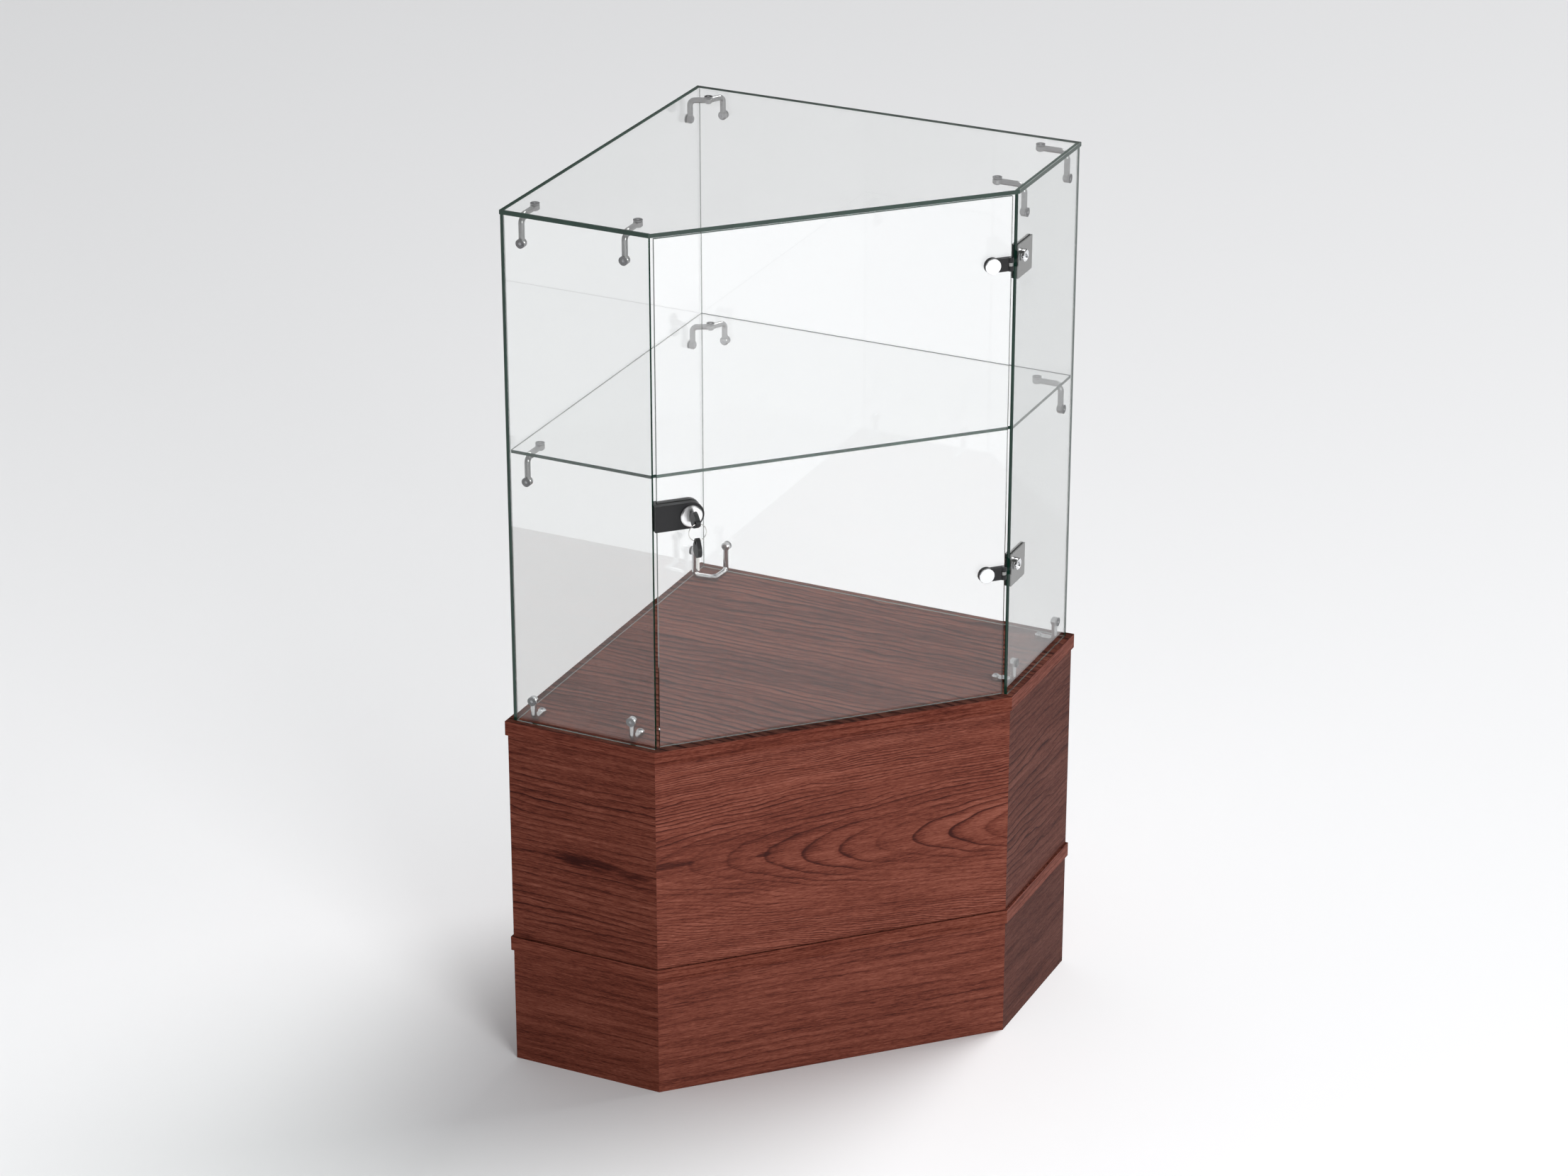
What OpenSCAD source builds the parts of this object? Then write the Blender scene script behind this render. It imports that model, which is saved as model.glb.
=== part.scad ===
// Corner display case: a pentagon wood base, frameless glass walls held by
// bent rod connectors, one glass shelf and a locking glass door across the
// cut-off front corner. Millimetres, +Z up, door facing -Y, back corner at +Y.

/* [Plan] */
// Length of the top glass along each room wall
wall_w = 500; // [440:1:600]
// Length of each side return of the top glass
side_w = 187; // [150:1:220]
// Overhang of the top glass beyond the side walls and the door
top_over = 2; // [1:0.5:8]
// Setback of the glass walls from the worktop's edges
glass_setback = 8; // [7:0.5:20]

/* [Heights] */
// Height of the plinth panels
plinth_h = 150; // [80:1:220]
// Height of the cabinet panels
cabinet_h = 270; // [150:1:400]
// Height of the glass walls
glass_h = 630; // [560:1:800]
// Height of the shelf's upper face above the worktop
shelf_h = 344; // [330:1:420]

/* [Boards] */
// Thickness of the deck board and the worktop
slab_t = 18; // [16:0.5:25]
// Thickness of the upright panels
panel_t = 16; // [14:0.5:22]
// How far the boards stand out beyond the panels
slab_over = 2.5; // [1:0.5:8]
// Thickness of the edge band on the boards' front edges
band_t = 1; // [0.5:0.1:2]
// Length of the legs of a triangular glue block
block_leg = 25; // [15:1:35]
// Distance from a glue block's ends to the boards
block_end = 10; // [2:1:20]

/* [Dowels] */
// Diameter of a dowel
dowel_d = 8; // [6:0.5:8]
// Length of a dowel
dowel_l = 30; // [25:1:40]
// Depth that a dowel reaches into a horizontal board
dowel_in = 8; // [5:0.5:10]
// Distance from a panel's corner to the dowels of its outer joints
dowel_inset = 45; // [30:1:60]
// Spacing that keeps the deck's upper dowels clear of its lower ones
dowel_step = 25; // [15:1:25]
// Radial clearance of a dowel in its hole
dowel_fit = 0.1; // [0.05:0.05:0.3]

/* [Glass] */
// Thickness of the glass walls and the door
glass_t = 4; // [3:0.5:6]
// Thickness of the top glass
top_t = 5; // [4:0.5:8]
// Thickness of the shelf glass
shelf_t = 4; // [4:0.5:8]
// Gap between the shelf and the walls
shelf_gap = 0.5; // [0.2:0.1:2]
// Gap between the shelf's front edge and the door
shelf_front_gap = 1; // [0.5:0.1:5]
// Glue line between the two back walls
joint_gap = 0.2; // [0.1:0.1:0.5]
// Gap between the door's side edges and the side walls
door_side_gap = 3.5; // [3:0.1:5]
// Gap above and below the door
door_end_gap = 2.5; // [1:0.1:5]

/* [Rod connectors] */
// Diameter of the bent rod
rod_d = 7; // [5:0.1:7.4]
// Diameter of the round boss at a rod's end
boss_d = 11; // [10:0.5:14]
// Length of the boss along its own axis
boss_l = 7.5; // [7.2:0.1:10]
// Diameter of the foot of a connector that stands on the worktop
foot_d = 10; // [9.5:0.5:13]
// Reach of a hung connector's upright arm
hang_down = 28.5; // [20:0.5:36]
// Reach of a hung connector's level arm
hang_in = 31; // [20:0.5:36]
// Reach of a standing connector's upright arm
stand_up = 23.5; // [15:0.5:40]
// Reach of a standing connector's level arm
stand_in = 20; // [15:0.5:36]
// Reach of a hung back connector's upright arms
back_down = 23.5; // [15:0.5:40]
// Reach of the standing back connector's upright arms
back_up = 33; // [15:0.5:40]
// Centreline radius of the rod's bend
bend_r = 6; // [5:0.5:9]
// Edge chamfer of a boss
boss_chamfer = 1.6; // [0.3:0.1:1.7]
// Thickness of a bonding pad between boss and glass
pad_t = 1.2; // [0.8:0.1:2]
// Distance from a side wall's rear corner to its rear connector
rear_inset = 23; // [16:0.5:34]
// Distance from a side wall's front corner to its front connector
front_inset = 34; // [24:0.5:45]
// Distance from the back corner to the back connectors' upright arms
back_inset = 38.5; // [37:0.5:50]
// Distance from the back walls to the middle boss of a hung back connector
hung_apex_in = 29; // [22:0.5:38]
// Distance from the back walls to the middle boss of the standing one
stood_apex_in = 36; // [22:0.5:38]
// Diameter of the back connectors' middle boss
apex_d = 10; // [9.5:0.5:14]
// Shank diameter of a connector screw
con_screw_d = 3.5; // [2.5:0.5:4.5]
// Head diameter of a connector screw
con_head_d = 6; // [5:0.5:6.5]
// Head height of a connector screw
con_head_t = 2; // [1.5:0.1:2.5]
// Depth of a connector screw's socket
socket_depth = 1.3; // [1:0.1:1.4]
// Width of a connector screw's socket over its corners
socket_w = 3.2; // [2.5:0.1:4]
// Length of a wood screw below the worktop's face
wood_screw_in = 13; // [8:0.5:14]

/* [Hinges] */
// Distance from the top of the glass walls to the upper hinge
upper_hinge_drop = 82.5; // [75:0.5:120]
// Height of the lower hinge above the worktop
lower_hinge_h = 162; // [60:1:200]
// Side of the square hinge plates
plate_w = 41; // [36:0.5:46]
// Thickness of the outer hinge plate
plate_out_t = 1.5; // [1.2:0.1:4]
// Thickness of the inner hinge plate
plate_in_t = 2.5; // [2:0.1:4]
// Thickness of the gaskets between plates and glass
gasket_t = 0.4; // [0.3:0.1:1]
// Shank diameter of the plate bolt
bolt_d = 6; // [5:0.5:8]
// Distance from the plates' front edges to the plate bolt
bolt_in = 12; // [10:0.5:20]
// Height of the plate bolt above the plates' middle
bolt_up = 5; // [0:0.5:8]
// Head diameter of the plate bolt
bolt_head_d = 14.5; // [12:0.5:16]
// Head height of the plate bolt
bolt_head_t = 5; // [4:0.5:7]
// Diameter of the round dish in the bolt's head
bolt_dish_d = 9; // [7:0.5:11]
// Depth of the dish
bolt_dish_t = 1; // [0.5:0.1:1.5]
// Depth of the plate bolt's socket below the head's face
bolt_socket_depth = 3; // [2:0.1:3.5]
// Width of the plate bolt's socket over its corners
bolt_socket_w = 6; // [4:0.1:6.5]
// Diameter of the bolt's hole in the glass
glass_hole_d = 10; // [9:0.5:12]
// Diameter of the hinge pin
pin_d = 3; // [2.5:0.1:3.5]
// Radial running clearance of the hinge pin
pin_fit = 0.05; // [0.02:0.01:0.1]
// Distance from the door's edge to the pin's axis
pivot_in = 3; // [2.5:0.1:4]
// Distance from the door's outer face to the pin's axis
pivot_out = 3.9; // [3.8:0.1:4.5]
// Radius of the arm's barrel round the pin
barrel_r = 3.6; // [3.2:0.1:3.7]
// Thickness of the fixed tongue between the barrel's ears
tongue_t = 4; // [3:0.5:5]
// Radius of the tongue's round end
tongue_r = 3.2; // [2.8:0.1:3.4]
// Clearance round the tongue
tongue_gap = 0.4; // [0.3:0.1:0.6]
// Height of the black arm on the door
arm_h = 16; // [13:0.5:18]
// Thickness of the arm
arm_t = 5.5; // [5:0.5:7]
// Distance from the pin's axis to the arm's round end
arm_reach = 22; // [19:0.5:30]
// Diameter of the arm's round end
arm_end_d = 19; // [18.5:0.5:24]
// Diameter of the bright cap on the arm
cap_d = 19; // [16:0.5:20]
// Thickness of the cap
cap_t = 1.5; // [1:0.5:6]
// Diameter of the clamp disc on the door's inner face
clamp_d = 13; // [12:0.5:24]
// Thickness of the clamp disc
clamp_t = 2; // [1.5:0.5:4]
// Shank diameter of the clamp screw
clamp_screw_d = 5; // [4:0.5:5]
// Head diameter of the clamp screw
clamp_head_d = 9; // [8:0.5:10]
// Head height of the clamp screw
clamp_head_t = 2.6; // [2:0.1:3.5]
// Diameter of the clamp screw's hole in the glass
clamp_hole_d = 9; // [8:0.5:11]

/* [Lock] */
// Height of the lock above the worktop
lock_h = 293; // [230:1:300]
// Distance from the door's free edge to the key's axis
lock_in = 38; // [34:0.5:44]
// Height of the lock housing
lock_w = 32; // [30:0.5:36]
// Thickness of the housing in front of the glass
lock_front_t = 7; // [6:0.5:9]
// Thickness of the wall between glass and bolt
lock_wall_t = 1.5; // [1.2:0.1:2]
// Reach of the housing's face beyond the door's edge
lock_over = 4.6; // [3:0.1:5.5]
// Thickness of the web round the door's edge
web_t = 1.5; // [1:0.1:1.6]
// Gap between the glass and the housing's rear part
seat_gap = 0.2; // [0.1:0.05:0.3]
// Thickness of the rear cover
cover_t = 1.5; // [1:0.1:2]
// Diameter of the bright bezel
bezel_d = 26; // [22:0.5:28]
// Thickness of the bezel
bezel_t = 4; // [3:0.5:6]
// Diameter of the lock cylinder's body
cylinder_d = 19; // [17:0.5:21]
// How much wider the glass's hole is than the cylinder's body
lock_hole_gap = 2; // [1:0.5:3]
// Diameter of the turning plug
plug_d = 12; // [11:0.5:13]
// Depth of the plug's face below the bezel's face
plug_recess = 0.8; // [0.4:0.1:1.5]
// Radial running clearance of the plug
plug_fit = 0.05; // [0.02:0.01:0.1]
// Thickness of the sliding bolt
bolt_t = 3; // [2.5:0.1:3.5]
// Height of the sliding bolt
bolt_h = 13; // [12:0.5:16]
// Gap round the sliding bolt
bolt_gap = 0.3; // [0.2:0.05:0.4]
// Travel of the bolt for a quarter turn of the key
bolt_throw = 5; // [3:0.1:5]
// Diameter of the crank pin that drives the bolt
crank_d = 2.4; // [2:0.1:2.6]
// Gap on each side of the crank pin in the bolt's slot
crank_gap = 0.25; // [0.2:0.05:0.4]

// Gap between the web and the door's edge
web_gap = 0.3; // [0.2:0.05:0.4]
// Shank diameter of a cover screw
cover_screw_d = 2.5; // [2:0.1:3]
// Length of a cover screw inside the housing
cover_screw_in = 3.2; // [2:0.1:3.6]
// Head diameter of a cover screw
cover_head_d = 4.6; // [4:0.1:5.5]
// Head height of a cover screw
cover_head_t = 1.2; // [0.8:0.1:1.5]
// Diameter of a grub screw
grub_d = 3; // [2.5:0.5:4]
// Distance from the door's edge to the cover screws
cover_screw_x = 10; // [6:0.5:12]
// Distance from the door's edge to the grub screws
grub_x = 18; // [17:0.5:24]
// Distance from the housing's top and bottom to the screws
screw_edge = 4.5; // [3.5:0.1:5]

/* [Keys] */
// Radius of a key's round head
head_r = 9.5; // [8:0.5:11]
// Radius of the head's small end round the ring's hole
head_tip_r = 4.8; // [4.4:0.1:6]
// Distance between the head's two centres
head_reach = 9; // [8:0.5:12]
// Thickness of a key's head
head_t = 5; // [3:0.5:6]
// Gap between the inserted key's head and the plug
head_gap = 1.2; // [1:0.1:3]
// Thickness of a key's blade
blade_t = 1.6; // [1.4:0.1:2]
// Height of a key's blade
blade_w = 7.5; // [6:0.5:8.5]
// Length of a key's blade outside its head
blade_l = 15.5; // [12:0.5:16]
// Depth of a blade's root inside its head
blade_root = 6; // [4:0.5:7]
// Gap round the blade in the plug
key_gap = 0.15; // [0.1:0.05:0.3]
// Diameter of the hole for the ring in a key's head
ring_hole_d = 5; // [4.5:0.1:5.5]
// Centreline diameter of the key ring
ring_d = 21; // [18:0.5:26]
// Diameter of the ring's wire
wire_d = 1; // [0.8:0.1:1.5]
// Gap between the wire and the hole's edge that it hangs on
ring_gap = 0.6; // [0.5:0.05:0.8]

/* [Hidden] */
$fn = 48;
eps = 0.01;
cut = 200;
// Play of a screw in a plain hole, and the gap beyond a screw's end
through_gap = 0.3;
end_gap = 0.2;
// Room beyond each end of a dowel in its hole
dowel_end = 1;
// Edge chamfers of the hinge's bright discs and the lock's bezel
rim = 0.4;
bezel_rim = 1.2;
// Gap between the drawn-in bolt's end and the inside of the web
bolt_rest = 0.8;
// Metal beside the crank pin's slot in the bolt
bolt_end = 3;
// Room beyond the blade's tip in the plug
tip_gap = 0.5;

wood = "#6e3423";
edge_wood = "#7a3a26";
raw_wood = "#c9a878";
clear = "#cfe6dd60";
steel = "#b9b9b6";
chrome = "#d8dadc";
black = "#1c1c1e";

// Plan directions: u runs from the back corner along the left room wall,
// v along the right one; each is also the outward normal of a side wall.
diag = sqrt(1/2);
u = [-diag, -diag];
v = [diag, -diag];
mitre = tan(22.5);

// Pentagon corners in the order back, left, front left, front right, right,
// grown by one amount along the room walls and by another at the front sides.
function pentagon(back, front) = [
    -back*(u + v),
    wall_w*u - back*v + front*u,
    wall_w*u + side_w*v + front*[-mitre, -1],
    wall_w*v + side_w*u + front*[mitre, -1],
    wall_w*v - back*u + front*v];
function middle(p, q) = (p + q)/2;
function unit(p) = p/norm(p);

// Insets from the top glass's edges: the back walls stand flush with it, the
// other walls and the door under its overhang. The boards stand out beyond it.
back_in = glass_t;
wall_in = top_over + glass_t;
slab_back = glass_setback;
slab_front = glass_setback - top_over;
function board(inset) = pentagon(slab_back - inset, slab_front - inset);
panel_face = board(slab_over);
panel_back = board(slab_over + panel_t);
deck_z = plinth_h;
cabinet_z = deck_z + slab_t;
worktop_z = cabinet_z + cabinet_h;
base_h = worktop_z + slab_t;
walls_top = base_h + glass_h;
shelf_under = base_h + shelf_h - shelf_t;
dowel_up = dowel_l - dowel_in;

right_corner = wall_w*v;
side_end = side_w - top_over*(1 - mitre)*diag;
front_y = pentagon(0, 0)[2][1];
front_half = pentagon(0, 0)[3][0];
door_out = front_y + top_over;
door_in = door_out + glass_t;
door_half = front_half - top_over*mitre - glass_t*diag - door_side_gap;
pivot = [door_half - pivot_in, door_out - pivot_out];
hinge_levels = [walls_top - upper_hinge_drop, base_h + lower_hinge_h];
clamp_x = pivot[0] - arm_reach;

lock_x = -door_half + lock_in;
lock_z = base_h + lock_h;
edge_x = -lock_in;
face_y = -lock_front_t;
channel_y = glass_t + seat_gap + lock_wall_t;
channel_t = bolt_t + 2*bolt_gap;
cover_y = channel_y + channel_t;
web_x = edge_x - web_gap - web_t;
plug_face = face_y - bezel_t + plug_recess;
crank_r = bolt_throw/(2*sin(45));
crank_off = bolt_throw/2;
slot_half = crank_d/2 + crank_gap;
bolt_left = web_x + bolt_rest;
bolt_right = crank_off + slot_half + bolt_end;
head_y = plug_face - head_gap - head_r;
ring_y = head_y - head_reach;
hang_drop = ring_hole_d/2 - wire_d/2 - ring_gap;
spare_hole_z = -ring_d - 2*hang_drop;
spare_z = spare_hole_z - head_reach;

// The origin is under the middle of the whole object's box, whose front is
// the spare key's head and whose back is the boards' back corner.
box_back = slab_back*sqrt(2);
box_front = door_out + ring_y - head_r;
origin_y = (box_back + box_front)/2;

module placed() translate([0, -origin_y, 0]) children();

module handed(side) {
    if (side < 0) mirror([1, 0, 0]) children();
    else children();
}

// Frame of a side wall's inner face: x runs to the front, y outwards.
module side_wall(side) handed(side)
    translate([right_corner[0], right_corner[1], 0]) rotate([0, 0, 225]) children();

// Frame of a back wall: x runs from the back corner, y outwards.
module back_wall(side) handed(side) rotate([0, 0, -45]) children();

// Turns a frame so that x points into the case and z away from the plate.
module corner_frame(along, inset, z, hung) translate([along, -inset, z]) rotate([0, 0, -90]) {
    if (hung) mirror([0, 0, 1]) children();
    else children();
}

module rod(d, l) cylinder(d = d, h = l);
module along_x(d, l) rotate([0, 90, 0]) cylinder(d = d, h = l);
module along_y(d, l) rotate([-90, 0, 0]) cylinder(d = d, h = l);

// Round disc with both rims chamfered, standing on z = 0.
module disc(d, l, c) rotate_extrude() polygon([[0, 0], [d/2 - c, 0], [d/2, c],
    [d/2, l - c], [d/2 - c, l], [0, l]]);

// Base boards

// Two dowel places on the middle line of each upright panel
function dowel_places(inset) = [for (i = [0:4]) let (
    j = (i + 1) % 5,
    a = middle(panel_face[i], panel_back[i]),
    b = middle(panel_face[j], panel_back[j]))
    each [a + inset*unit(b - a), b + inset*unit(a - b)]];

module dowel_row(z, inset, d, l) for (p = dowel_places(inset))
    translate([p[0], p[1], z]) rod(d, l);

module dowel_holes() {
    hole = dowel_d + 2*dowel_fit;
    long = dowel_l + 2*dowel_end;
    dowel_row(deck_z - dowel_up - dowel_end, dowel_inset, hole, long);
    dowel_row(cabinet_z - dowel_in - dowel_end, dowel_inset + dowel_step, hole, long);
    dowel_row(worktop_z - dowel_up - dowel_end, dowel_inset, hole, long);
}

module board_dowels() color(raw_wood) placed() {
    dowel_row(deck_z - dowel_up, dowel_inset, dowel_d, dowel_l);
    dowel_row(cabinet_z - dowel_in, dowel_inset + dowel_step, dowel_d, dowel_l);
    dowel_row(worktop_z - dowel_up, dowel_inset, dowel_d, dowel_l);
}

// One upright panel on side i of the pentagon, mitred at both ends
module upright(i, z, h) color(wood) placed() difference() {
    j = (i + 1) % 5;
    linear_extrude_at(z, h)
        polygon([panel_face[i], panel_face[j], panel_back[j], panel_back[i]]);
    dowel_holes();
}

// Horizontal board's core, less the band on its three front edges
core = pentagon(slab_back, slab_front - band_t);
module slab(z) linear_extrude_at(z, slab_t) polygon(core);

module linear_extrude_at(z, h) translate([0, 0, z]) linear_extrude(h) children();

module edge_band(z) color(edge_wood) placed() linear_extrude_at(z, slab_t) polygon([
    for (i = [1:4]) board(0)[i],
    for (i = [4:-1:1]) core[i]]);

module glue_blocks(z, h) color(raw_wood) placed()
    for (i = [0:4]) let (
        here = panel_back[i],
        last = panel_back[(i + 4) % 5],
        next = panel_back[(i + 1) % 5])
        linear_extrude_at(z + block_end, h - 2*block_end)
            polygon([here, here + block_leg*unit(next - here),
                here + block_leg*unit(last - here)]);

module plinth_front_panel() upright(2, 0, plinth_h);
module plinth_left_panel() upright(1, 0, plinth_h);
module plinth_right_panel() upright(3, 0, plinth_h);
module plinth_back_left_panel() upright(0, 0, plinth_h);
module plinth_back_right_panel() upright(4, 0, plinth_h);
module cabinet_front_panel() upright(2, cabinet_z, cabinet_h);
module cabinet_left_panel() upright(1, cabinet_z, cabinet_h);
module cabinet_right_panel() upright(3, cabinet_z, cabinet_h);
module cabinet_back_left_panel() upright(0, cabinet_z, cabinet_h);
module cabinet_back_right_panel() upright(4, cabinet_z, cabinet_h);
module plinth_glue_blocks() glue_blocks(0, plinth_h);
module cabinet_glue_blocks() glue_blocks(cabinet_z, cabinet_h);
module deck_edge_band() edge_band(deck_z);
module worktop_edge_band() edge_band(worktop_z);

module deck_board() color(wood) placed() difference() {
    slab(deck_z);
    dowel_holes();
}

module worktop_board() color(wood) placed() difference() {
    slab(worktop_z);
    dowel_holes();
    base_screws() screw_down(0);
}

// Glass

module top_glass() color(clear) placed() linear_extrude_at(walls_top, top_t)
    polygon(pentagon(0, 0));

module shelf_glass() color(clear) placed() linear_extrude_at(shelf_under, shelf_t)
    polygon(shelf_outline());

// The shelf keeps one gap at the walls and another behind the door
function shelf_outline() = let (
    front = front_y + wall_in + shelf_front_gap,
    p = pentagon(-back_in - shelf_gap, -wall_in - shelf_gap),
    back = front - p[2][1]) [
    p[0], p[1],
    [p[2][0] - back, front],
    [p[3][0] + back, front],
    p[4]];

module back_glass(side, start) color(clear) placed() back_wall(side)
    translate([start, -back_in, base_h]) cube([wall_w - top_over - start, glass_t, glass_h]);

module back_left_glass() back_glass(-1, 0);
module back_right_glass() back_glass(1, back_in + joint_gap);

module side_glass(side) side_wall(side) translate([back_in, -wall_in, base_h])
    cube([side_end - back_in, glass_t, glass_h]);

module left_side_glass() color(clear) placed() side_glass(-1);

module right_side_glass() color(clear) difference() {
    placed() side_glass(1);
    for (z = hinge_levels) at_hinge(z)
        translate([-bolt_in, -cut/2, bolt_up]) along_y(glass_hole_d, cut);
}

module door_glass() color(clear) placed() difference() {
    translate([-door_half, door_out, base_h + door_end_gap])
        cube([2*door_half, glass_t, glass_h - 2*door_end_gap]);
    for (z = hinge_levels) {
        translate([clamp_x, door_out - eps, z]) along_y(clamp_hole_d, glass_t + 2*eps);
        translate([pivot[0] - tongue_r - 2*tongue_gap, door_out - eps,
            z - tongue_t/2 - 2*tongue_gap])
            cube([cut, glass_t + 2*eps, tongue_t + 4*tongue_gap]);
    }
    translate([lock_x, door_out - eps, lock_z])
        along_y(cylinder_d + lock_hole_gap, glass_t + 2*eps);
}

// Rod connectors: each is drawn where its wall meets a plate, with the wall's
// face at x = 0, the plate's face at z = 0 and the case's inside at +x, +z.
// A kind lists its pad under the plate, the reach of its upright and level
// arms, the diameter of its plate boss and the turn of its level arm.
wall_axis = pad_t + boss_l/2;
side_hung = [pad_t, hang_down, hang_in, boss_d, 0];
side_stood = [0, stand_up, stand_in, foot_d, 0];
back_hung = back_kind(pad_t, back_down, hung_apex_in, apex_d);
back_stood = back_kind(0, back_up, stood_apex_in, foot_d);
function back_kind(pad, upright, apex_in, d) = let (
    run = [apex_in - back_in - wall_axis, back_inset - apex_in])
    [pad, upright, norm(run), d, atan2(run[1], run[0])];
function plate_axis(kind) = kind[0] + boss_l/2;

// Places of the two bosses: each child starts on the glass or board
module at_wall(kind) translate([0, 0, plate_axis(kind) + kind[1]]) rotate([0, 90, 0])
    children();
module at_plate(kind) translate([wall_axis + kind[2], 0, 0]) children();

// Boss on the wall, both rods and the bend between them
module elbow(kind) {
    at_wall(kind) translate([0, 0, pad_t]) disc(boss_d, boss_l, boss_chamfer);
    translate([wall_axis, 0, plate_axis(kind)]) rotate([0, 0, -kind[4]]) {
        translate([0, 0, bend_r]) rod(rod_d, kind[1] - bend_r);
        translate([bend_r, 0, bend_r]) rotate([90, 0, 0]) rotate([0, 0, 180])
            rotate_extrude(angle = 90) translate([bend_r, 0]) circle(d = rod_d);
        translate([bend_r, 0, 0]) along_x(rod_d, kind[2] - bend_r);
    }
}

// Flush socket screw down through a boss into its pad, or into the board
module screw_down(pad) translate([0, 0, pad]) {
    depth = pad > 0 ? pad - end_gap : wood_screw_in;
    translate([0, 0, boss_l - con_head_t]) rod(con_head_d, con_head_t);
    translate([0, 0, -depth]) rod(con_screw_d, depth + boss_l - con_head_t + eps);
}

module driven_screw(pad) difference() {
    screw_down(pad);
    translate([0, 0, pad + boss_l - socket_depth])
        cylinder(d = socket_w, h = 2*socket_depth, $fn = 6);
}

module l_connector(kind) difference() {
    union() {
        elbow(kind);
        at_plate(kind) translate([0, 0, kind[0]]) disc(kind[3], boss_l, boss_chamfer);
    }
    at_wall(kind) screw_down(pad_t);
    at_plate(kind) screw_down(kind[0]);
}

module back_elbows(z, hung) for (side = [-1, 1]) back_wall(side)
    corner_frame(back_inset, back_in, z, hung) children();

module apex(z, hung, inset) translate([0, -inset*sqrt(2), z]) {
    if (hung) mirror([0, 0, 1]) children();
    else children();
}

module back_connector(kind, z, hung, inset) color(steel) placed() difference() {
    union() {
        back_elbows(z, hung) elbow(kind);
        apex(z, hung, inset) translate([0, 0, kind[0]]) disc(kind[3], boss_l, boss_chamfer);
    }
    back_elbows(z, hung) at_wall(kind) screw_down(pad_t);
    apex(z, hung, inset) screw_down(kind[0]);
}

side_places = [rear_inset, side_w - front_inset];

module hung_connector(side, along, z) color(steel) placed() side_wall(side)
    corner_frame(along, wall_in, z, true) l_connector(side_hung);
module stood_connector(side, along) color(steel) placed() side_wall(side)
    corner_frame(along, wall_in, base_h, false) l_connector(side_stood);

module top_left_connectors() for (x = side_places) hung_connector(-1, x, walls_top);
module top_right_connectors() for (x = side_places) hung_connector(1, x, walls_top);
module base_left_connectors() for (x = side_places) stood_connector(-1, x);
module base_right_connectors() for (x = side_places) stood_connector(1, x);
module shelf_left_connector() hung_connector(-1, rear_inset, shelf_under);
module shelf_right_connector() hung_connector(1, rear_inset, shelf_under);
module top_back_connector() back_connector(back_hung, walls_top, true, hung_apex_in);
module shelf_back_connector() back_connector(back_hung, shelf_under, true, hung_apex_in);
module base_back_connector() back_connector(back_stood, base_h, false, stood_apex_in);

// Every corner of a hung side connector, and of a standing one
module hung_corners() for (side = [-1, 1]) side_wall(side) {
    for (x = side_places) corner_frame(x, wall_in, walls_top, true) children();
    corner_frame(rear_inset, wall_in, shelf_under, true) children();
}
module stood_corners() for (side = [-1, 1], x = side_places) side_wall(side)
    corner_frame(x, wall_in, base_h, false) children();

// Screws into the worktop
module base_screws() {
    stood_corners() at_plate(side_stood) children();
    apex(base_h, false, stood_apex_in) children();
}

module pad_ring(d) difference() {
    rod(d, pad_t);
    translate([0, 0, -eps]) rod(con_screw_d, pad_t + 2*eps);
}

module connector_pads() color(steel) placed() {
    hung_corners() {
        at_wall(side_hung) pad_ring(boss_d);
        at_plate(side_hung) pad_ring(boss_d);
    }
    stood_corners() at_wall(side_stood) pad_ring(boss_d);
    for (z = [walls_top, shelf_under]) {
        back_elbows(z, true) at_wall(back_hung) pad_ring(boss_d);
        apex(z, true, hung_apex_in) pad_ring(apex_d);
    }
    back_elbows(base_h, false) at_wall(back_stood) pad_ring(boss_d);
}

module connector_screws() color(steel) placed() {
    hung_corners() {
        at_wall(side_hung) driven_screw(pad_t);
        at_plate(side_hung) driven_screw(pad_t);
    }
    stood_corners() at_wall(side_stood) driven_screw(pad_t);
    for (z = [walls_top, shelf_under]) {
        back_elbows(z, true) at_wall(back_hung) driven_screw(pad_t);
        apex(z, true, hung_apex_in) driven_screw(pad_t);
    }
    back_elbows(base_h, false) at_wall(back_stood) driven_screw(pad_t);
}

module connector_wood_screws() color(steel) placed() base_screws() driven_screw(0);

// Hinges: the frame's x runs to the front from the side wall's front edge,
// y outwards from its outer face, and z up from the hinge's middle.
module at_hinge(z) placed() side_wall(1) translate([side_end, -top_over, z]) children();

inner_face = -glass_t - gasket_t;
pivot_local = [(pivot - right_corner)*u - side_end, (pivot - right_corner)*v + top_over];

module hinge_plate(y, t, hole) difference() {
    translate([-plate_w, y, -plate_w/2]) cube([plate_w, t, plate_w]);
    translate([-bolt_in, y - eps, bolt_up]) along_y(hole, t + 2*eps);
}

module outer_plate(z) color(steel) at_hinge(z) hinge_plate(gasket_t, plate_out_t,
    bolt_d + through_gap);

// Inner plate with the fixed tongue that carries the hinge pin
module inner_plate(z) color(steel) at_hinge(z) difference() {
    back = inner_face - plate_in_t;
    dir = unit(pivot_local - [0, (inner_face + back)/2]);
    across = [-dir[1], dir[0]]*tongue_r;
    union() {
        hinge_plate(back, plate_in_t, bolt_d);
        translate([0, 0, -tongue_t/2]) linear_extrude(tongue_t)
            polygon([[-1, inner_face], [-1, back], [0, back], pivot_local - across,
                pivot_local + across, [0, inner_face]]);
        translate([pivot_local[0], pivot_local[1], -tongue_t/2]) cylinder(r = tongue_r, h = tongue_t);
    }
    translate([pivot_local[0], pivot_local[1], -cut/2]) rod(pin_d + 2*pin_fit, cut);
}

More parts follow.
